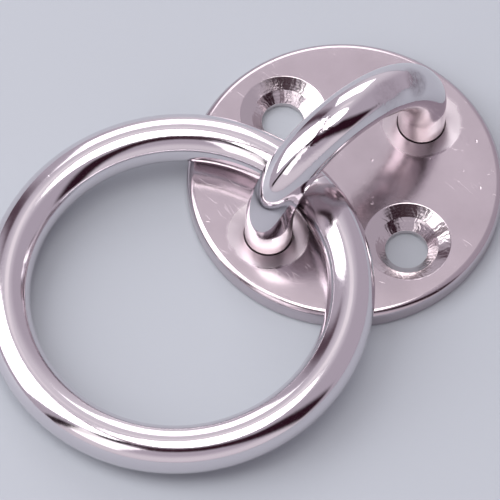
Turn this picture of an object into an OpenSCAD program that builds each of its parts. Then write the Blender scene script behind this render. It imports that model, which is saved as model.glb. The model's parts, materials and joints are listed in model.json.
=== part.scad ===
// Round eye plate with a captive ring.
// A countersunk disc carries a fixed bar staple, and a loose welded ring hangs in the staple.
// Frame: origin at the middle of the plate's back face, +X along the staple's two legs,
// +Y along the two screw holes, +Z out of the plate.  The ring lies down on the -X side.

/* [Plate] */
// Diameter of the round plate
plate_d = 40; // [39:0.5:60]
// Thickness of the plate
plate_t = 3; // [2.5:0.1:4]
// Radius that softens the front edge of the rim
rim_round = 1; // [0.3:0.1:1.1]
// Radius that breaks the back edge of the rim
back_round = 0.4; // [0.2:0.1:0.8]

/* [Screw holes] */
// Distance between the two screw holes
screw_pitch = 24; // [22:0.5:26]
// Diameter of the straight part of a screw hole
screw_hole_d = 5.4; // [3.5:0.1:6.5]
// Diameter of the countersink at the plate's face
sink_d = 11; // [8:0.5:12]
// Depth of the countersink
sink_depth = 2.1; // [1:0.1:2.3]

/* [Staple] */
// Diameter of the staple's bar
bar_d = 6; // [4:0.1:7.5]
// Distance between the middles of the two legs
staple_pitch = 25.5; // [20:0.5:26]
// Straight length of a leg above the plate, below the bend
leg_rise = 3.75; // [2.5:0.25:8]
// Gap all round a leg in its hole
leg_clearance = 0.1; // [0.05:0.05:0.2]
// Width of the pressed-in seat around a leg hole
seat_w = 2.1; // [1:0.1:2.4]
// Depth of the pressed-in seat at the edge of the hole
seat_depth = 0.3; // [0.1:0.05:0.6]
// Leg length of the fillet weld, sunk into the back face
weld_leg = 1.4; // [0.8:0.1:1.5]

/* [Ring] */
// Diameter of the ring's bar
ring_bar_d = 6; // [4:0.1:7]
// Inside diameter of the ring
ring_id = 37; // [32:0.5:60]
// Width of the butt weld that closes the ring
ring_weld_w = 1.2; // [0.6:0.1:2]
// Least gap between the ring and the inside of the staple
ring_play = 0.3; // [0.2:0.05:0.6]
// Gap between the lying ring and the plate's front edge
rest_gap = 0.1; // [0.05:0.05:0.4]

/* [Hidden] */
$fn = 96;
cut = 1; // how far a cutting shape stands out past the face it opens

// Plate and legs
plate_r = plate_d / 2;
flat_r = plate_r - rim_round;
bar_r = bar_d / 2;
leg_x = staple_pitch / 2;
leg_hole_r = bar_r + leg_clearance;
seat_r = leg_hole_r + seat_w;
arch_z = plate_t + leg_rise;

// Ring: it lies on the plate's front edge and on the surface that the plate stands on.
// rest_share is how far along the ring, from the hinge axis to its far side, that edge lies.
ring_bar_r = ring_bar_d / 2;
ring_r = ring_id / 2 + ring_bar_r;
free_swing = leg_x - bar_r - ring_bar_r - ring_play;
free_reach = free_swing + ring_r;
edge_x = (free_reach * free_reach + flat_r * flat_r - ring_r * ring_r) / (2 * free_reach);
rest_share = edge_x / (free_reach + ring_r);
hinge_z = ring_bar_r + (plate_t + rest_gap) / (1 - rest_share);
swing_r = free_swing - max(0, hinge_z - arch_z);
reach = swing_r + ring_r;
rest_tilt = asin((hinge_z - ring_bar_r) / (reach + ring_r));
ring_weld_angle = ring_weld_w / ring_r * 180 / PI;

// Disc with a rounded front edge and a softly broken back edge
module rounded_disc() {
    cylinder(r = flat_r, h = plate_t);
    translate([0, 0, back_round])
        cylinder(r = plate_r, h = plate_t - rim_round - back_round);
    cylinder(r1 = plate_r - back_round, r2 = plate_r, h = back_round);
    translate([0, 0, plate_t - rim_round])
        rotate_extrude()
            translate([flat_r, 0])
                circle(r = rim_round);
}

// Screw hole with its countersink
module screw_cut() {
    sink_slope = (sink_d - screw_hole_d) / 2 / sink_depth;
    translate([0, 0, -cut])
        cylinder(d = screw_hole_d, h = plate_t + 2 * cut);
    translate([0, 0, plate_t - sink_depth])
        cylinder(d1 = screw_hole_d, d2 = sink_d + 2 * cut * sink_slope, h = sink_depth + cut);
}

// Leg hole: the punch has dished its front edge, and its back edge is opened for the weld
module leg_cut() {
    seat_slope = seat_w / seat_depth;
    translate([0, 0, -cut])
        cylinder(r = leg_hole_r, h = plate_t + 2 * cut);
    translate([0, 0, -cut])
        cylinder(r1 = leg_hole_r + weld_leg + cut, r2 = leg_hole_r, h = weld_leg + cut);
    translate([0, 0, plate_t - seat_depth])
        cylinder(r1 = leg_hole_r, r2 = seat_r + cut * seat_slope, h = seat_depth + cut);
}

module base_plate() {
    color("thistle")
        difference() {
            rounded_disc();
            for (side = [-1, 1]) {
                translate([0, side * screw_pitch / 2, 0])
                    screw_cut();
                translate([side * leg_x, 0, 0])
                    leg_cut();
            }
        }
}

// One bar bent to a half circle on two straight legs, cut flush with the plate's back
module staple() {
    color("silver") {
        for (side = [-1, 1])
            translate([side * leg_x, 0, 0])
                cylinder(r = bar_r, h = arch_z);
        translate([0, 0, arch_z])
            rotate([90, 0, 0])
                rotate_extrude(angle = 180)
                    translate([leg_x, 0])
                        circle(r = bar_r);
    }
}

// Fillet weld around one leg's end, ground flush with the plate's back
module staple_weld(side) {
    color("darkgray")
        translate([side * leg_x, 0, 0])
            difference() {
                cylinder(r1 = leg_hole_r + weld_leg, r2 = leg_hole_r, h = weld_leg);
                translate([0, 0, -cut])
                    cylinder(r = bar_r, h = weld_leg + 2 * cut);
            }
}

// Places the ring's own frame: its weld is at angle 0, inside the staple
module ring_at_rest() {
    translate([0, 0, hinge_z])
        rotate([0, -rest_tilt, 0])
            translate([-reach, 0, 0])
                children();
}

module ring_arc(from, sweep) {
    rotate_extrude(angle = sweep, start = from)
        translate([ring_r, 0])
            circle(r = ring_bar_r);
}

module ring() {
    color("silver")
        ring_at_rest()
            ring_arc(ring_weld_angle / 2, 360 - ring_weld_angle);
}

module ring_weld() {
    color("darkgray")
        ring_at_rest()
            ring_arc(-ring_weld_angle / 2, ring_weld_angle);
}

base_plate();
staple();
staple_weld(-1);  // staple_weld_left
staple_weld(1);  // staple_weld_right
ring();
ring_weld();
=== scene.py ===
# %% [markdown]
# # A stainless steel ring plate
#
# The object is a small deck fitting: a round plate with two countersunk screw holes, a staple
# bent from round bar whose two legs pass through the plate, and a loose ring welded shut around
# the staple. The sizes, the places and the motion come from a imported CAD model. Here each piece
# is modelled again with the soft edges, tool marks and finish that the real one has, and it
# stands for its CAD node. The lesson goes piece by piece: shape first, then metal, then light.

# %% Load the frame and keep its box
import json
import math

import bmesh
import bpy
from mathutils import Matrix, Vector


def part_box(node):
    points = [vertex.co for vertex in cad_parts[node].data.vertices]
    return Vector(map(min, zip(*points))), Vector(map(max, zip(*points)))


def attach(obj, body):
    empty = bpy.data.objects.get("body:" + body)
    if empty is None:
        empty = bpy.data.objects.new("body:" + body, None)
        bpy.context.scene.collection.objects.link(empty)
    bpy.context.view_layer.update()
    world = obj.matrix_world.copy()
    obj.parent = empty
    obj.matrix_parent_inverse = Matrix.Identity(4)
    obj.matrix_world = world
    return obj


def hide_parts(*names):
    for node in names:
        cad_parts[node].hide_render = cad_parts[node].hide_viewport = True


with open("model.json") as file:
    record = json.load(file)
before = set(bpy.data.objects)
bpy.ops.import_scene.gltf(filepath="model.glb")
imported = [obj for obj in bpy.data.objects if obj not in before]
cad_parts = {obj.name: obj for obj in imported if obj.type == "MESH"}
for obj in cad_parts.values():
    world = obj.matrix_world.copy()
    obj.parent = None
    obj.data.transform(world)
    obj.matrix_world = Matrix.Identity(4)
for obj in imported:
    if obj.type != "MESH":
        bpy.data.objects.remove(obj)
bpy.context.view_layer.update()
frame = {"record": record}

# %% [markdown]
# ## Sizes come from the frame
#
# Nothing is measured twice. The boxes of the CAD nodes give the plate, the bar and the ring, and
# the record's mounts give the screw holes. The pieces are modelled in millimetres, because bevels
# and merge distances are easier to judge there, and each one is scaled to metres when it is done.

# %% Read the sizes, in millimetres
MM = 0.001


def box_mm(node):
    low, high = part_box(node)
    return low / MM, high / MM


plate_low, plate_high = box_mm("base_plate")
staple_low, staple_high = box_mm("staple")
weld_low, weld_high = box_mm("staple_weld_right")
bead_low, bead_high = box_mm("ring_weld")
ring_low, ring_high = box_mm("ring")

plate_r = (plate_high.x - plate_low.x) / 2
plate_t = plate_high.z

bar_r = (staple_high.y - staple_low.y) / 2
leg_x = staple_high.x - bar_r
arch_z = staple_high.z - bar_r - leg_x
back_weld_r = (weld_high.y - weld_low.y) / 2
back_weld_h = weld_high.z

ring_bar_r = (bead_high.z - bead_low.z) / 2
ring_r = (ring_high.y - ring_low.y) / 2 - ring_bar_r
near_x = max(ring_high.x, bead_high.x)
near_z = max(ring_high.z, bead_high.z)
ring_centre = Vector(((ring_low.x + near_x) / 2, 0, (ring_low.z + near_z) / 2))
ring_tilt = math.asin((near_z - ring_low.z - 2 * ring_bar_r) / (2 * ring_r))

mounts = {m["name"]: m for m in frame["record"]["mounts"]}
screw_y = mounts["screw_holes"]["dims"]["spacing_y_mm"] / 2
screw_r = mounts["screw_holes"]["dims"]["hole_r_mm"]
land = mounts["screw_hole_near"]["dims"]["length_mm"]
print(f"plate {2 * plate_r:.1f} x {plate_t:.1f}, bar {2 * bar_r:.1f}, legs at {leg_x:.2f}")
print(f"ring {2 * ring_r:.1f} at {tuple(ring_centre)}, tilt {math.degrees(ring_tilt):.2f}")

# %% Sizes that only the finish needs, in millimetres
SINK_R = 5.5          # countersink at the plate's face
RIM_ROUND = 1.0       # softened front edge of the plate
RIM_FALL = 0.12       # how far tumbling has worn the face down towards that edge
RIM_FALL_W = 3.5      # width of the worn band
RIM_BLEND = 80        # radius that blends the worn band into the flat face
BACK_ROUND = 0.35     # broken back edge
LEG_GAP = 0.1         # open line all round a leg
SEAT_W = 2.1          # width of the edge that the punch dished round a leg hole
SEAT_DEPTH = 0.3      # how far that edge has sunk at the hole
SEAT_LIP = 0.5        # radius where that dish meets the face
SINK_LIP = 0.3        # tumbled edge of a countersink
SINK_BEND_R = 4.0     # where the worn tool's cone turns steeper
SINK_BEND_DEEP = 0.94  # and how far below the face that is
BEND_SOFT = 0.6       # radius of that turn
RIDGES = 4            # feed marks that the tool left on the steeper part of the cone
RIDGE_H = 0.008       # height of one feed mark
BACK_BREAK = 0.2      # broken back edge of a screw hole
WELD_PROUD = 0.015    # a polished butt weld still stands a hair proud of the bar
LAND_EDGE = 0.08      # edge between a countersink's cone and its straight hole
HOLE_EDGE = 0.06      # edge between a dish and its leg hole
PAST = 1.0            # how far a cutter stands out past the face it cuts
LIP_RUN = 0.8         # how far the leg cutter's lip runs on outside the dish
LIP_RISE = 0.01       # how little a cutter's lip rises above the face
SMOOTH_ANGLE = 35     # edges sharper than this many degrees stay sharp
print("countersink across:", 2 * SINK_R, "leg seat across:", 2 * (bar_r + LEG_GAP + SEAT_W))

# %% [markdown]
# ## Nothing is selected by accident
#
# Blender's operators work on whatever is selected, and loading the frame leaves the CAD nodes
# selected. So every step begins by clearing the selection.


# %% Tools for selecting a piece and applying its place
def clear_selection():
    if bpy.context.object and bpy.context.object.mode != "OBJECT":
        bpy.ops.object.mode_set(mode="OBJECT")
    bpy.ops.object.select_all(action="DESELECT")


def make_active(piece):
    clear_selection()
    piece.select_set(True)
    bpy.context.view_layer.objects.active = piece


def apply_all(piece):
    make_active(piece)
    bpy.ops.object.transform_apply(location=True, rotation=True, scale=True)


print("selected after loading:", len(bpy.context.selected_objects))
clear_selection()
print("selected now:", len(bpy.context.selected_objects))

# %% [markdown]
# ## The plate
#
# The real plate is a disc punched from 3 mm sheet and tumbled until its front edge is round. It
# could be a cylinder with a bevel modifier, but a turned profile gives the front and the back
# edge their own radius in one go, and lets the face fall away a little towards the rim, where
# tumbling wears it most.
#
# Metal never has a perfectly sharp edge, and the thin bright line along an edge is what tells the
# eye that it is metal. So a profile is a list of corners, each with the radius that softens it,
# and `soften` puts an arc of short steps in place of each corner.


# %% Draw the disc's profile, with arcs for corners
def soften(corners, steps=6):
    """corners: (radius from the axis, height, corner radius). Returns the profile's points."""
    points = []
    for i, (r, z, soft) in enumerate(corners):
        here = Vector((r, z))
        if soft == 0 or i in (0, len(corners) - 1):
            points.append(here)
            continue
        back = (Vector(corners[i - 1][:2]) - here).normalized()
        on = (Vector(corners[i + 1][:2]) - here).normalized()
        half = back.angle(on) / 2
        reach = soft / math.tan(half)
        middle = here + (back + on).normalized() * soft / math.sin(half)
        first = here + back * reach - middle
        turn = first.angle_signed(here + on * reach - middle)
        for k in range(steps + 1):
            arm = first.copy()
            arm.rotate(Matrix.Rotation(-turn * k / steps, 2))
            points.append(middle + arm)
    return points


disc = soften([
    (0, 0, 0),
    (plate_r, 0, BACK_ROUND),
    (plate_r, plate_t - RIM_FALL, RIM_ROUND),
    (plate_r - RIM_FALL_W, plate_t, RIM_BLEND),
    (0, plate_t, 0),
], steps=10)
print("points in the disc's profile:", len(disc))


# %% Extrude the profile vertex by vertex and spin it, as on a lathe
def lathe(name, points, steps=160):
    clear_selection()
    bpy.ops.mesh.primitive_plane_add(size=1)
    piece = bpy.context.object
    piece.name = name
    bpy.ops.object.mode_set(mode="EDIT")
    bpy.ops.mesh.select_mode(type="VERT")
    bpy.ops.mesh.select_all(action="SELECT")
    bpy.ops.mesh.merge(type="CENTER")
    bpy.ops.transform.translate(value=(points[0].x, 0, points[0].y))
    for a, b in zip(points, points[1:]):
        step = (b.x - a.x, 0, b.y - a.y)
        bpy.ops.mesh.extrude_vertices_move(TRANSFORM_OT_translate={"value": step})
    bpy.ops.mesh.select_all(action="SELECT")
    bpy.ops.mesh.spin(steps=steps, angle=2 * math.pi, center=(0, 0, 0), axis=(0, 0, 1))
    bpy.ops.mesh.select_all(action="SELECT")
    bpy.ops.mesh.remove_doubles(threshold=1e-4)
    bpy.ops.mesh.normals_make_consistent(inside=False)
    bpy.ops.object.mode_set(mode="OBJECT")
    print(f"turned {name}: {[round(c, 2) for c in piece.dimensions]} mm")
    return piece


plate = lathe("plate_disc", disc, steps=256)

# %% [markdown]
# ## Holes with the marks of their tools
#
# Each hole is cut with a turned cutter, as in the workshop, and each cutter is made once and
# used on both sides. The countersink's cone is steeper near the hole than at the face, because
# the tool was worn, and it carries feed rings on the steep part. A leg hole is dished at the
# front, where the punch pulled the sheet down, and opened out at the back for the weld.


# %% Copy a turned shape to another axis, and cut with it
def copy_at(piece, name, x, y):
    copy = piece.copy()
    copy.data = piece.data.copy()
    copy.name = name
    bpy.context.scene.collection.objects.link(copy)
    copy.location = (x, y, 0)
    apply_all(copy)
    return copy


def cut_both_sides(piece, cutter, x, y):
    for side in (-1, 1):
        tool = copy_at(cutter, "tool", side * x, side * y)
        make_active(piece)
        modifier = piece.modifiers.new("cut", "BOOLEAN")
        modifier.operation = "DIFFERENCE"
        modifier.solver = "EXACT"
        modifier.object = tool
        bpy.ops.object.modifier_apply(modifier=modifier.name)
        bpy.data.objects.remove(tool)
    bpy.data.objects.remove(cutter)
    print(f"{piece.name} has {len(piece.data.polygons)} faces after the cuts at {x}, {y}")


# %% Cutter for the two countersunk screw holes
bend_z = plate_t - SINK_BEND_DEEP
rise, run = bend_z - land, SINK_BEND_R - screw_r
across = Vector((rise, -run)).normalized()
corners = [
    (0, -PAST, 0),
    (screw_r + BACK_BREAK, -PAST, 0),
    (screw_r + BACK_BREAK, 0, 0),
    (screw_r, BACK_BREAK, 0),
    (screw_r, land, LAND_EDGE),
]
for k in range(1, RIDGES):
    for share, lift in (((k - 0.5) / RIDGES, RIDGE_H), (k / RIDGES, -RIDGE_H)):
        spot = Vector((screw_r + run * share, land + rise * share)) + across * lift
        corners.append((spot.x, spot.y, 0))
corners += [
    (SINK_BEND_R, bend_z, BEND_SOFT),
    (SINK_R, plate_t, SINK_LIP),
    (SINK_R + SINK_LIP * 2, plate_t + LIP_RISE, 0),
    (SINK_R + SINK_LIP * 2, plate_t + PAST, 0),
    (0, plate_t + PAST, 0),
]
cut_both_sides(plate, lathe("screw cutter", soften(corners)), 0, screw_y)

# %% Cutter for the two leg holes
hole_r = bar_r + LEG_GAP
seat_r = hole_r + SEAT_W
flare = (back_weld_r - hole_r) / back_weld_h
corners = [
    (0, -PAST, 0),
    (back_weld_r + PAST * flare, -PAST, 0),
    (hole_r, back_weld_h, 0),
    (hole_r, plate_t - SEAT_DEPTH, HOLE_EDGE),
    (seat_r, plate_t, SEAT_LIP),
    (seat_r + LIP_RUN, plate_t + LIP_RISE, 0),
    (seat_r + LIP_RUN, plate_t + PAST, 0),
    (0, plate_t + PAST, 0),
]
cut_both_sides(plate, lathe("leg cutter", soften(corners)), leg_x, 0)

# %% [markdown]
# ## The staple
#
# A length of polished round bar, bent to a half circle. By hand you would draw a circle as the
# bar's section, spin it half a turn and pull both ends straight down through the plate. The ends
# are then ground flush with the plate's back.


# %% A round section, spun and pulled
def bar_section(name, radius, at, turned=None, sides=72):
    clear_selection()
    bpy.ops.mesh.primitive_circle_add(vertices=sides, radius=radius)
    piece = bpy.context.object
    piece.name = name
    if turned:
        piece.rotation_euler = turned
    piece.location = at
    apply_all(piece)
    bpy.ops.object.mode_set(mode="EDIT")
    bpy.ops.mesh.select_mode(type="EDGE")
    bpy.ops.mesh.select_all(action="SELECT")
    return piece


def close_ends(piece, soft):
    """Fills each open loop and softens its edge by so many millimetres."""
    bpy.ops.mesh.select_mode(type="EDGE")
    bpy.ops.mesh.select_all(action="DESELECT")
    bpy.ops.mesh.select_non_manifold()
    bpy.ops.mesh.fill_holes(sides=0)
    bpy.ops.mesh.bevel(offset=soft, segments=3, affect="EDGES")
    bpy.ops.mesh.select_all(action="SELECT")
    bpy.ops.mesh.normals_make_consistent(inside=False)
    bpy.ops.object.mode_set(mode="OBJECT")


staple = bar_section("staple_bar", bar_r, (leg_x, 0, arch_z))
bpy.ops.mesh.spin(steps=112, angle=math.pi, center=(0, 0, arch_z), axis=(0, 1, 0))
bpy.ops.mesh.select_all(action="DESELECT")
bpy.ops.mesh.select_non_manifold()
LEG_STEPS = 6
for step in range(LEG_STEPS):
    down = (0, 0, -arch_z / LEG_STEPS)
    bpy.ops.mesh.extrude_region_move(TRANSFORM_OT_translate={"value": down})
close_ends(staple, soft=0.05)
print("staple:", [round(c, 2) for c in staple.dimensions])

# %% [markdown]
# ## The two welds at the back
#
# Each leg ends in a ring of weld metal that fills the opened-out back of its hole. It was ground
# level with the plate, so only a flat ring shows. A spun profile does it.


# %% Turn one weld and copy it
SUNK = 0.02           # the weld's edges stay this much clear of the plate, in millimetres
bead_profile = soften([
    (bar_r, 0, 0),
    (back_weld_r - SUNK, 0, 2 * SUNK),
    (hole_r, back_weld_h, 2 * SUNK),
    (bar_r, back_weld_h - 1.5 * SUNK, 0),
    (bar_r, 0, 0),
], steps=3)
weld = lathe("weld at the back", bead_profile, steps=96)
weld_left = copy_at(weld, "weld_bead_left", -leg_x, 0)
weld_right = copy_at(weld, "weld_bead_right", leg_x, 0)
bpy.data.objects.remove(weld)
print("one weld bead:", len(weld_left.data.polygons), "faces")

# %% [markdown]
# ## The ring
#
# The same bar again, rolled to a circle and closed by a butt weld. It is spun in its own flat
# plane, short of a full turn by the width of the weld, and then laid down: tilted and moved to
# where it rests over the plate's edge. The spin operator counts its angle against the right-hand
# rule, so a turn from +X towards +Y is negative. `transform.rotate` turns the other way without a
# window, so the lay is applied with the object's own rotation.

# %% Roll the ring's bar
weld_half = math.asin((bead_high.y - bead_low.y) / 2 / (ring_r + ring_bar_r))
section_at = Matrix.Rotation(weld_half, 3, "Z") @ Vector((ring_r, 0, 0))
ring = bar_section("ring_bar", ring_bar_r, section_at, (math.pi / 2, 0, weld_half))
bpy.ops.mesh.spin(
    steps=300, angle=-(2 * math.pi - 2 * weld_half), center=(0, 0, 0), axis=(0, 0, 1)
)
close_ends(ring, soft=0.02)
print("ring before it is laid down:", [round(c, 2) for c in ring.dimensions])

# %% Make the butt weld, a hair proud and rounded off by polishing
BEAD_STEPS = 8
bead_at = Matrix.Rotation(-weld_half, 3, "Z") @ Vector((ring_r, 0, 0))
bead = bar_section("ring_butt_weld", ring_bar_r, bead_at, (math.pi / 2, 0, -weld_half))
bpy.ops.mesh.spin(
    steps=BEAD_STEPS, angle=-2 * weld_half, center=(0, 0, 0), axis=(0, 0, 1)
)
bpy.ops.mesh.select_mode(type="VERT")
for step in range(1, BEAD_STEPS):
    at = weld_half * (2 * step / BEAD_STEPS - 1)
    bpy.ops.mesh.select_all(action="DESELECT")
    loop = bmesh.from_edit_mesh(bead.data)
    for vertex in loop.verts:
        vertex.select = abs(math.atan2(vertex.co.y, vertex.co.x) - at) < weld_half / BEAD_STEPS
    loop.select_flush_mode()
    bmesh.update_edit_mesh(bead.data)
    swell = 1 + WELD_PROUD * math.sin(math.pi * step / BEAD_STEPS) / ring_bar_r
    middle = Matrix.Rotation(at, 3, "Z") @ Vector((ring_r, 0, 0))
    bpy.ops.transform.resize(value=(swell, swell, swell), center_override=middle)
close_ends(bead, soft=0.02)
print("butt weld:", [round(c, 2) for c in bead.dimensions])

# %% Lay both down over the plate's edge
for piece in (ring, bead):
    piece.rotation_euler = (0, -ring_tilt, 0)
    piece.location = ring_centre
    apply_all(piece)
    print(f"{piece.name}, laid down: {[round(c, 2) for c in piece.dimensions]} mm")

# %% [markdown]
# ## Node tools
#
# Every finish is a small network of nodes. One function adds a node with its settings and its
# links. Colours are written as the hex values that a colour picker shows, so they are turned
# into the linear values that a shader wants. Pattern sizes are written in millimetres.


# %% One function for nodes, one for colours, one for pattern sizes
def linear(hex_colour):
    parts = [int(hex_colour[i:i + 2], 16) / 255 for i in (1, 3, 5)]
    return (*[c / 12.92 if c <= 0.04045 else ((c + 0.055) / 1.055) ** 2.4 for c in parts], 1)


def per(size_mm):
    """Texture scale whose features are about this many millimetres apart."""
    return 1000 / size_mm


def add(tree, kind, values=None, links=None, **settings):
    node = tree.nodes.new("ShaderNode" + kind)
    for key, value in settings.items():
        setattr(node, key, value)
    for key, value in (values or {}).items():
        node.inputs[key].default_value = value
    for key, socket in (links or {}).items():
        tree.links.new(socket, node.inputs[key])
    return node


def new_finish(name):
    material = bpy.data.materials.new(name)
    material.use_nodes = True
    tree = material.node_tree
    tree.nodes.clear()
    shader = add(tree, "BsdfPrincipled", {"Metallic": 1.0})
    add(tree, "OutputMaterial", links={"Surface": shader.outputs["BSDF"]})
    place = add(tree, "TexCoord").outputs["Object"]
    return material, tree, shader, place


def use_finish(piece, *materials):
    piece.data.materials.clear()
    for material in materials:
        piece.data.materials.append(material)
    print(piece.name, "wears", [m.name for m in materials])


print("mid grey in linear light:", round(linear("#808080")[0], 3))
print("scale of a pattern of 1 mm:", per(1))

# %% [markdown]
# ## Small patterns that several finishes share
#
# Handling leaves three kinds of mark on steel: a faint unevenness left by the polishing wheel,
# a few hair scratches, and a few pits. Each is a height in millimetres, and each one is laid over
# the one before, so that a finish can take as much of each as it needs.


# %% Unevenness, scratches and pits
HAIR = 0.012          # how near to its middle value the noise has to come to draw a scratch
PATCH = 0.8           # size of a scratched place, as a share of a scratch's length
PATCH_FADE = 0.05     # how softly such a place ends


def lay(tree, height, depth_mm, under=None):
    links = {"Height": height}
    if under is not None:
        links["Normal"] = under
    bump = add(tree, "Bump", {"Strength": 1.0, "Distance": depth_mm * MM}, links)
    return bump.outputs["Normal"]


def unevenness(tree, place, size_mm, detail=2.0):
    noise = add(tree, "TexNoise", {"Scale": per(size_mm), "Detail": detail}, {"Vector": place})
    return noise.outputs["Fac"]


def hairlines(tree, place, turn, length_mm, gap_mm, share):
    """Thin lines where a stretched noise crosses its middle value, kept only in some places."""
    stretch = add(tree, "Mapping", {
        "Rotation": (0, 0, math.radians(turn)),
        "Scale": (per(gap_mm), per(length_mm), per(gap_mm)),
    }, {"Vector": place})
    noise = add(tree, "TexNoise", {"Scale": 1.0, "Detail": 0.0}, {"Vector": stretch.outputs[0]})
    away = add(tree, "Math", {1: 0.5}, {0: noise.outputs["Fac"]}, operation="SUBTRACT")
    near = add(tree, "Math", links={0: away.outputs[0]}, operation="ABSOLUTE")
    line = add(tree, "MapRange", {"From Max": HAIR, "To Min": 1.0, "To Max": 0.0},
               {"Value": near.outputs[0]})
    patch = add(tree, "TexNoise", {"Scale": per(length_mm * PATCH), "Detail": 0.0},
                {"Vector": place})
    keep = add(tree, "MapRange", {"From Min": 1 - share, "From Max": 1 + PATCH_FADE - share},
               {"Value": patch.outputs["Fac"]})
    both = add(tree, "Math", links={0: line.outputs[0], 1: keep.outputs[0]},
               operation="MULTIPLY")
    return both.outputs[0]


def pits(tree, place, apart_mm, radius_mm, share):
    """Round specks: cells of a Voronoi pattern, of which a small share carries a pit."""
    cells = add(tree, "TexVoronoi", {"Scale": per(apart_mm), "Randomness": 1.0},
                {"Vector": place})
    spot = add(tree, "MapRange", {"From Max": radius_mm / apart_mm, "To Min": 1.0, "To Max": 0.0},
               {"Value": cells.outputs["Distance"]}, interpolation_type="SMOOTHSTEP")
    pick = add(tree, "SeparateColor", links={"Color": cells.outputs["Color"]})
    keep = add(tree, "Math", {1: share}, {0: pick.outputs["Red"]}, operation="LESS_THAN")
    both = add(tree, "Math", links={0: spot.outputs[0], 1: keep.outputs[0]},
               operation="MULTIPLY")
    return both.outputs[0]


# %% [markdown]
# ## Tumbled stainless steel sheet
#
# The plate is 304 stainless sheet, punched and then tumbled with polishing stones. That leaves a
# satin face: bright, but blurred enough that the staple above it shows only as soft dark and
# light patches. The finish is a metal with roughness near 0.16 that wanders a little, a fine
# grain from the stones, and the hair scratches and pits of a part that lay loose in a bin. The
# grain is drawn at 0.35 mm, coarser than the real one, because a finer one would not show.
#
# The bands that the punch dished round the legs were pickled after welding and no stone reached
# them, so they are paler and rougher, with a frayed edge.

# %% Build the plate's finish
DULL_PAST = 0.35      # how far the dull band reaches past the dish, in millimetres
DULL_FADE = 0.3       # half the width over which it fades
DULL_FRAY = 0.9       # how far its edge wanders
DULL_ROUGH = 0.3      # its roughness
plate_steel, tree, shader, place = new_finish("tumbled stainless steel sheet")
cloud = unevenness(tree, place, 9, detail=7.0)
tone = add(tree, "MixRGB", {"Color1": linear("#B7ADB2"), "Color2": linear("#DED4D9")},
           {"Fac": cloud})
axes = add(tree, "SeparateXYZ", links={"Vector": place})
mirrored = add(tree, "Math", links={0: axes.outputs["X"]}, operation="ABSOLUTE")
from_leg = add(tree, "Math", {1: leg_x * MM}, {0: mirrored.outputs[0]}, operation="SUBTRACT")
flat = add(tree, "CombineXYZ", links={"X": from_leg.outputs[0], "Y": axes.outputs["Y"]})
reach = add(tree, "VectorMath", links={0: flat.outputs[0]}, operation="LENGTH")
frayed = add(tree, "Math", {1: DULL_FRAY * MM}, {0: unevenness(tree, place, 1.6, detail=4.0)},
             operation="MULTIPLY")
reach = add(tree, "Math", links={0: reach.outputs["Value"], 1: frayed.outputs[0]},
            operation="ADD")
dull_r = seat_r + DULL_PAST
dulled = add(tree, "MapRange", {
    "From Min": (dull_r + DULL_FADE) * MM, "From Max": (dull_r - DULL_FADE) * MM,
}, {"Value": reach.outputs[0]}, interpolation_type="SMOOTHSTEP")
pickled = add(tree, "MixRGB", {"Color2": linear("#DDD5D8")},
              {"Fac": dulled.outputs[0], "Color1": tone.outputs[0]})
tree.links.new(pickled.outputs[0], shader.inputs["Base Color"])
grain = unevenness(tree, place, 0.35, detail=3.0)
steep_lines = hairlines(tree, place, turn=28, length_mm=3.0, gap_mm=0.8, share=0.36)
flat_lines = hairlines(tree, place, turn=-63, length_mm=2.5, gap_mm=1.0, share=0.34)
speck = pits(tree, place, apart_mm=2.0, radius_mm=0.2, share=0.2)
gloss = add(tree, "MapRange", {"From Min": 0.3, "From Max": 0.7, "To Min": 0.14, "To Max": 0.18},
            {"Value": grain})
gloss = add(tree, "MixRGB", {"Color2": (DULL_ROUGH, DULL_ROUGH, DULL_ROUGH, 1)},
            {"Fac": dulled.outputs[0], "Color1": gloss.outputs[0]})
tree.links.new(gloss.outputs[0], shader.inputs["Roughness"])
face = lay(tree, unevenness(tree, place, 6), depth_mm=0.03)
face = lay(tree, grain, depth_mm=0.0018, under=face)
face = lay(tree, steep_lines, depth_mm=-0.006, under=face)
face = lay(tree, flat_lines, depth_mm=-0.006, under=face)
face = lay(tree, speck, depth_mm=-0.05, under=face)
tree.links.new(face, shader.inputs["Normal"])
print("nodes in the plate's finish:", len(tree.nodes))

# %% [markdown]
# ## Bright-polished stainless bar
#
# Staple and ring were buffed after bending and welding. They mirror the studio, so what gives
# them life is the light, and the small waves left by buffing by hand: they make the edges of the
# reflections run slightly crooked. Roughness stays low, with a few pits. The ring has been worn
# against the staple and the deck, so its mirror is a little softer than the staple's.
#
# The staple has two more marks. The feet of the legs and the inside of the bend are left satin,
# and their colour is darkened there: that is painted shade, where the plate and the arch shade
# the bar. And where the bending die gripped the bar, the skin is mottled. Each mark is kept to
# its place by a height or a distance on the piece.


# %% Build the bar's finish
WHEEL_REACH = 1.3     # how far inside the bend's centre line the satin and the painted shade begin
SATIN_ROUGH = 0.15    # roughness that the wheel did not take away
SATIN_ENDS = 1.0      # how far past its limit the satin and the painted shade have faded out
SATIN_FULL = 0.6      # how far within that limit it has its full strength
MARK_CORE = 0.4       # share of a die mark's size in which it has its full strength


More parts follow.
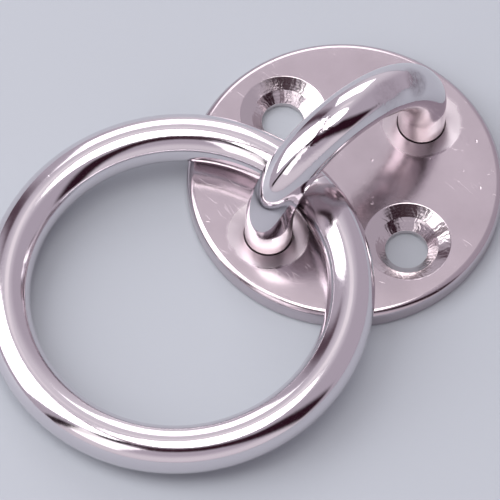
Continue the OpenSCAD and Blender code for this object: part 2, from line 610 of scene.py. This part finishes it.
def polished_bar(name, base, rough, wave_mm, wave_depth_mm, satin_below=None, die_marks=()):
    material, tree, shader, place = new_finish(name)
    tone = add(tree, "RGB")
    tone.outputs[0].default_value = linear(base)
    fine = unevenness(tree, place, 0.5, detail=4.0)
    gloss = add(tree, "MapRange",
                {"From Min": 0.3, "From Max": 0.7, "To Min": rough[0], "To Max": rough[1]},
                {"Value": fine})
    if satin_below:
        axes = add(tree, "SeparateXYZ", links={"Vector": place})
        above = add(tree, "Math", {1: arch_z * MM}, {0: axes.outputs["Z"]},
                    operation="SUBTRACT")
        above = add(tree, "Math", {1: 0.0}, {0: above.outputs[0]}, operation="MAXIMUM")
        spoke = add(tree, "CombineXYZ", links={"X": axes.outputs["X"], "Z": above.outputs[0]})
        spoke = add(tree, "VectorMath", links={0: spoke.outputs[0]}, operation="LENGTH")
        foot, inside_bend = [add(tree, "MapRange", {
            "From Min": (limit + SATIN_ENDS) * MM, "From Max": (limit - SATIN_FULL) * MM,
        }, {"Value": measure}, interpolation_type="SMOOTHSTEP") for measure, limit in (
            (axes.outputs["Z"], satin_below), (spoke.outputs["Value"], leg_x - WHEEL_REACH))]
        satin = add(tree, "Math", links={0: foot.outputs[0], 1: inside_bend.outputs[0]},
                    operation="MAXIMUM")
        gloss = add(tree, "Math", {1: SATIN_ROUGH}, {0: satin.outputs[0], 2: gloss.outputs[0]},
                    operation="MULTIPLY_ADD")
        # The darker tone mixed in here is painted shade on the feet of the legs and under the
        # arch; the roughness above is the satin.
        tone = add(tree, "MixRGB", {"Color2": linear("#BBAFB3")},
                   {"Fac": satin.outputs[0], "Color1": tone.outputs[0]})
    tree.links.new(gloss.outputs[0], shader.inputs["Roughness"])
    speck = pits(tree, place, apart_mm=1.9, radius_mm=0.16, share=0.12)
    face = lay(tree, unevenness(tree, place, wave_mm), wave_depth_mm)
    face = lay(tree, fine, depth_mm=0.0022, under=face)
    face = lay(tree, speck, depth_mm=-0.02, under=face)
    for centre, size_mm, grain_mm, depth_mm, stain in die_marks:
        away = add(tree, "VectorMath", {1: Vector(centre) * MM}, {0: place},
                   operation="DISTANCE")
        near = add(tree, "MapRange", {
            "From Min": size_mm * MM, "From Max": size_mm * MM * MARK_CORE,
        }, {"Value": away.outputs["Value"]}, interpolation_type="SMOOTHSTEP")
        mottle = add(tree, "Math",
                     links={0: near.outputs[0], 1: unevenness(tree, place, grain_mm, 3.0)},
                     operation="MULTIPLY")
        face = lay(tree, mottle.outputs[0], depth_mm, face)
        scaled = add(tree, "Math", {1: stain}, {0: mottle.outputs[0]}, operation="MULTIPLY")
        tone = add(tree, "MixRGB", {"Color2": linear("#6A5560")},
                   {"Fac": scaled.outputs[0], "Color1": tone.outputs[0]})
    tree.links.new(tone.outputs[0], shader.inputs["Base Color"])
    tree.links.new(face, shader.inputs["Normal"])
    print(f"{name}: {len(tree.nodes)} nodes")
    return material


bar_steel = polished_bar(
    "bright-polished stainless bar",
    base="#E0DBDF", rough=(0.08, 0.12), wave_mm=5, wave_depth_mm=0.02,
)
crown_z = arch_z + leg_x + bar_r
staple_steel = polished_bar(
    "bright-polished staple with bending marks",
    base="#E0DBDF", rough=(0.05, 0.08), wave_mm=5, wave_depth_mm=0.02,
    # below this height the legs are satin, with painted shade in their colour
    satin_below=plate_t + 1.2,
    die_marks=[
        # centre, size, grain of the mottling, depth, how much dark scale is left in it
        ((0.76 * leg_x, -1.7, crown_z - 3.9), 2.6, 0.7, 0.10, 0.8),
        ((0.36 * leg_x, -1.9, crown_z - 1.6), 3.2, 0.6, 0.05, 0.3),
        ((-0.33 * leg_x, -0.1, crown_z - 0.6), 1.5, 0.6, 0.03, 0.3),
        ((-0.62 * leg_x, -1.6, crown_z - 3.3), 2.4, 0.7, 0.03, 0.0),
    ])

# %% [markdown]
# ## Freshly cut steel in the countersinks
#
# The countersink tool was not run true: its cone carries feed rings and, across them, the
# spokes that a chattering cutter leaves. The rings are in the mesh already; the finish adds the
# finer ones and the spokes. Both holes share it, because the distance from the nearer hole's axis
# is worked out from the piece's own coordinates.

# %% Build the countersink's finish
FEED_MM = 0.33        # distance between the tool's fine feed rings
SPOKES = 38           # chatter marks round a hole
WANDER = 0.5          # how far a spoke strays from straight, in radians
cut_steel, tree, shader, place = new_finish("countersunk steel with chatter marks")
shader.inputs["Base Color"].default_value = linear("#DAD3D5")
shader.inputs["Roughness"].default_value = 0.15
axes = add(tree, "SeparateXYZ", links={"Vector": place})
mirrored = add(tree, "Math", links={0: axes.outputs["Y"]}, operation="ABSOLUTE")
from_axis = add(tree, "Math", {1: screw_y * MM}, {0: mirrored.outputs[0]}, operation="SUBTRACT")
flat = add(tree, "CombineXYZ", links={"X": axes.outputs["X"], "Y": from_axis.outputs[0]})
radius = add(tree, "VectorMath", links={0: flat.outputs[0]}, operation="LENGTH")
rings = add(tree, "Math", {1: 2 * math.pi * per(FEED_MM)}, {0: radius.outputs["Value"]},
            operation="MULTIPLY")
rings = add(tree, "Math", links={0: rings.outputs[0]}, operation="SINE")
angle = add(tree, "Math", links={0: from_axis.outputs[0], 1: axes.outputs["X"]},
            operation="ARCTAN2")
wander = add(tree, "Math", {1: WANDER}, {0: unevenness(tree, place, 1.5)}, operation="MULTIPLY")
angle = add(tree, "Math", links={0: angle.outputs[0], 1: wander.outputs[0]}, operation="ADD")
spokes = add(tree, "Math", {1: SPOKES}, {0: angle.outputs[0]}, operation="MULTIPLY")
spokes = add(tree, "Math", links={0: spokes.outputs[0]}, operation="SINE")
face = lay(tree, rings.outputs[0], depth_mm=0.0008)
face = lay(tree, spokes.outputs[0], depth_mm=0.004, under=face)
face = lay(tree, unevenness(tree, place, 0.9), depth_mm=0.006, under=face)
tree.links.new(face, shader.inputs["Normal"])
print("nodes in the countersink's finish:", len(tree.nodes))

# %% [markdown]
# ## Ground weld metal
#
# The two welds at the back were dressed with a flap wheel. They are a little duller and warmer
# than the sheet around them, with short grinding lines. The ring's own weld was buffed with the
# ring, and it shows only as a slightly different gloss.

# %% Build the finish of the welds
weld_metal, tree, shader, place = new_finish("ground weld metal")
shader.inputs["Base Color"].default_value = linear("#CFC3C2")
shader.inputs["Roughness"].default_value = 0.36
lines = add(tree, "Mapping", {"Scale": (per(0.25), per(4), per(4))}, {"Vector": place})
lines = add(tree, "TexNoise", {"Scale": 1.0, "Detail": 3.0}, {"Vector": lines.outputs[0]})
face = lay(tree, lines.outputs["Fac"], depth_mm=0.02)
face = lay(tree, unevenness(tree, place, 1.1), depth_mm=0.04, under=face)
tree.links.new(face, shader.inputs["Normal"])

butt_metal = polished_bar(
    "buffed butt weld", base="#DAD2D6", rough=(0.08, 0.13), wave_mm=3, wave_depth_mm=0.012,
)

# %% Dress the pieces
EDGE_BAND = 0.05      # faces this close to a hole's edges keep the plate's finish
LIP_BAND = 0.03       # and so do faces this close to the plate's face
use_finish(plate, plate_steel, cut_steel)
for face in plate.data.polygons:
    c = face.center
    to_axis = math.hypot(c.x, abs(c.y) - screw_y)
    if to_axis < SINK_R - EDGE_BAND and EDGE_BAND < c.z < plate_t - LIP_BAND:
        face.material_index = 1
print("faces cut by the countersink tool:", sum(f.material_index for f in plate.data.polygons))
use_finish(staple, staple_steel)
use_finish(ring, bar_steel)
use_finish(bead, butt_metal)
for piece in (weld_left, weld_right):
    use_finish(piece, weld_metal)

# %% [markdown]
# ## From pieces to the assembly
#
# `finish_piece` scales a piece to metres with its origin at the world's origin, smooths what is
# meant to be round, joins the piece to the CAD body that it moves with, and hides the CAD node
# that it stands for.


# %% Finish every piece and tie it to its body
def finish_piece(piece, body, node):
    piece.scale = (MM, MM, MM)
    apply_all(piece)
    bpy.ops.object.shade_smooth_by_angle(angle=math.radians(SMOOTH_ANGLE))
    modifier = piece.modifiers.new("flat faces stay flat", "WEIGHTED_NORMAL")
    modifier.keep_sharp = True
    modifier.weight = 100
    bpy.ops.object.modifier_apply(modifier=modifier.name)
    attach(piece, body)
    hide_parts(node)
    print(f"{piece.name}: {len(piece.data.polygons)} faces, stands for {node}")


finish_piece(plate, "eye_plate", "base_plate")
finish_piece(staple, "eye_plate", "staple")
finish_piece(weld_left, "eye_plate", "staple_weld_left")
finish_piece(weld_right, "eye_plate", "staple_weld_right")
finish_piece(ring, "ring", "ring")
finish_piece(bead, "ring", "ring_weld")

# %% [markdown]
# ## The table
#
# A pale painted table top carries the part. It starts as a plane; its corners are beveled round
# and it is pulled down into a slab, so that a low view sees a table and not a cut-off sheet.

# %% Make the table top
clear_selection()
bpy.ops.mesh.primitive_plane_add(size=4)
table = bpy.context.object
table.name = "table_top"
bpy.ops.object.mode_set(mode="EDIT")
bpy.ops.mesh.select_mode(type="FACE")
bpy.ops.mesh.select_all(action="SELECT")
bpy.ops.mesh.bevel(offset=0.3, segments=8, affect="VERTICES")
bpy.ops.mesh.extrude_region_move(TRANSFORM_OT_translate={"value": (0, 0, -0.05)})
bpy.ops.mesh.select_all(action="SELECT")
bpy.ops.mesh.normals_make_consistent(inside=False)
bpy.ops.object.mode_set(mode="OBJECT")
print("table top at", max(v.co.z for v in table.data.vertices), table.dimensions[:])

paint, tree, shader, place = new_finish("matt table paint")
shader.inputs["Metallic"].default_value = 0.0
shader.inputs["Roughness"].default_value = 0.6
shader.inputs["Base Color"].default_value = linear("#B3BAC0")
face = lay(tree, unevenness(tree, place, 0.9, detail=3.0), depth_mm=0.015)
tree.links.new(face, shader.inputs["Normal"])
use_finish(table, paint)

# %% [markdown]
# ## The camera
#
# A long lens from far away keeps circles from spreading towards the edges. The camera is turned
# to its azimuth, tipped down to its elevation, and rolled a little about its own axis.

# %% Set up the camera
AZIMUTH, ELEVATION, ROLL = -43.12, 61.19, 3.27
AIM = Vector((-16.1, -0.4, 3.0)) * MM
DISTANCE = 0.7524

turn = (
    Matrix.Rotation(math.radians(AZIMUTH), 4, "Z")
    @ Matrix.Rotation(math.radians(90 - ELEVATION), 4, "X")
    @ Matrix.Rotation(math.radians(ROLL), 4, "Z")
)
camera_data = bpy.data.cameras.new("long lens")
camera_data.sensor_width = 36
camera_data.lens = 432
camera_data.clip_start = 0.05
camera = bpy.data.objects.new("camera", camera_data)
camera.matrix_world = Matrix.Translation(AIM + turn.to_3x3() @ Vector((0, 0, DISTANCE))) @ turn
bpy.context.scene.collection.objects.link(camera)
bpy.context.scene.camera = camera
print("camera at", [round(c, 4) for c in camera.matrix_world.translation])

# %% [markdown]
# ## The light
#
# Polished metal has no colour of its own to show: it shows the room. So the room is laid out
# like a studio tent. A round lamp hangs overhead, a large window box stands on the left, smaller
# ones stand beside and behind it, and the front has the dark gap through which the camera looks.
# Lights are placed by two angles: how far round to the camera's right, and how high.
#
# The tent's walls carry cards, which are darker and lighter strips from one direction to
# another. A dark card between two lights is what draws the thin dark line along a polished bar.


# %% Lamps, placed by the direction in which the part sees them
def towards(turn_deg, high_deg):
    flat = math.radians(turn_deg - 90 + AZIMUTH)
    high = math.radians(high_deg)
    return Vector((math.cos(high) * math.cos(flat), math.cos(high) * math.sin(flat),
                   math.sin(high)))


LAMP_AWAY = 1.25  # metres from the part
LAMPS = [
    # name, turn, high, width and height as seen from the part, brightness, colour, shape
    ("overhead lamp", 0, 86, 32, 32, 3.2, "#FFFCFA", "ELLIPSE"),
    ("left window", 270, 42, 41, 58, 2.6, "#FFFDFF", "RECTANGLE"),
    ("front left window", 322, 36, 21, 32, 1.15, "#FFFAFB", "RECTANGLE"),
    ("back window", 190, 34, 30, 30, 1.7, "#FFFCFE", "RECTANGLE"),
]
for name, turn_deg, high_deg, wide_deg, tall_deg, brightness, colour, shape in LAMPS:
    lamp = bpy.data.lights.new(name, "AREA")
    lamp.shape = shape
    lamp.size = 2 * LAMP_AWAY * math.tan(math.radians(wide_deg / 2))
    lamp.size_y = 2 * LAMP_AWAY * math.tan(math.radians(tall_deg / 2))
    area = lamp.size * lamp.size_y * (math.pi / 4 if shape == "ELLIPSE" else 1)
    lamp.energy = brightness * math.pi * area
    lamp.color = linear(colour)[:3]
    box = bpy.data.objects.new(name, lamp)
    toward = towards(turn_deg, high_deg)
    box.location = AIM + toward * LAMP_AWAY
    box.rotation_euler = toward.to_track_quat("Z", "Y").to_euler()
    bpy.context.scene.collection.objects.link(box)
    print(f"{name}: {lamp.size:.2f} x {lamp.size_y:.2f} m, {lamp.energy:.1f} W")

# %% Tent walls, with the darker and lighter places in them
WALL = "#BCB2BE"
CARDS = [
    # from (turn, high) to (turn, high), half width, soft edge, colour
    ((-40, 10), (45, 10), 14, 10, "#E6DDE5"),
    ((176, 12), (186, 74), 18, 14, "#E4DCE5"),
    ((225, 5), (225, 38), 6, 5, "#5C4854"),
    ((-14, 59), (42, 46), 8, 4, "#301220"),
    ((-36, 63), (-8, 60), 3.5, 2, "#3C1E2D"),
    ((42, 46), (60, 18), 11, 5, "#2E1421"),
    ((303.5, 6), (322, 64), 3.5, 1.5, "#200E18"),
    ((322, 66), (232, 66), 1.5, 1.5, "#836C7B"),
    ((170, 69), (190, 69), 4, 3, "#FFF6FC"),
]
world = bpy.data.worlds.new("studio tent")
bpy.context.scene.world = world
world.use_nodes = True
tree = world.node_tree
tree.nodes.clear()
look = add(tree, "TexCoord").outputs["Generated"]


def inside(direction, edge_from, edge_to, other_side=False):
    """1 past edge_to and 0 past edge_from, both shares of a ray's way along a direction."""
    share = add(tree, "VectorMath", {1: direction}, {0: look}, operation="DOT_PRODUCT")
    share = share.outputs["Value"]
    if other_side:
        share = add(tree, "Math", links={0: share}, operation="ABSOLUTE").outputs[0]
    return add(tree, "MapRange", {"From Min": edge_from, "From Max": edge_to},
               {"Value": share}, interpolation_type="SMOOTHSTEP").outputs[0]


colour = add(tree, "RGB").outputs[0]
colour.default_value = linear(WALL)
for start, end, half, soft, card in CARDS:
    a, b = towards(*start), towards(*end)
    half, soft = math.radians(half), math.radians(soft)
    reach = a.angle(b) / 2 + half
    along = inside((a + b).normalized(), math.cos(reach + soft), math.cos(reach - soft))
    across = inside(a.cross(b).normalized(), math.sin(half + soft), math.sin(half - soft), True)
    mask = add(tree, "Math", links={0: along, 1: across}, operation="MULTIPLY").outputs[0]
    colour = add(tree, "MixRGB", {"Color2": linear(card)},
                 {"Fac": mask, "Color1": colour}).outputs[0]
sky = add(tree, "Background", {"Strength": 1.0}, {"Color": colour})
add(tree, "OutputWorld", links={"Surface": sky.outputs[0]})
bpy.context.scene.view_settings.view_transform = "Standard"
print("cards in the tent:", len(CARDS))
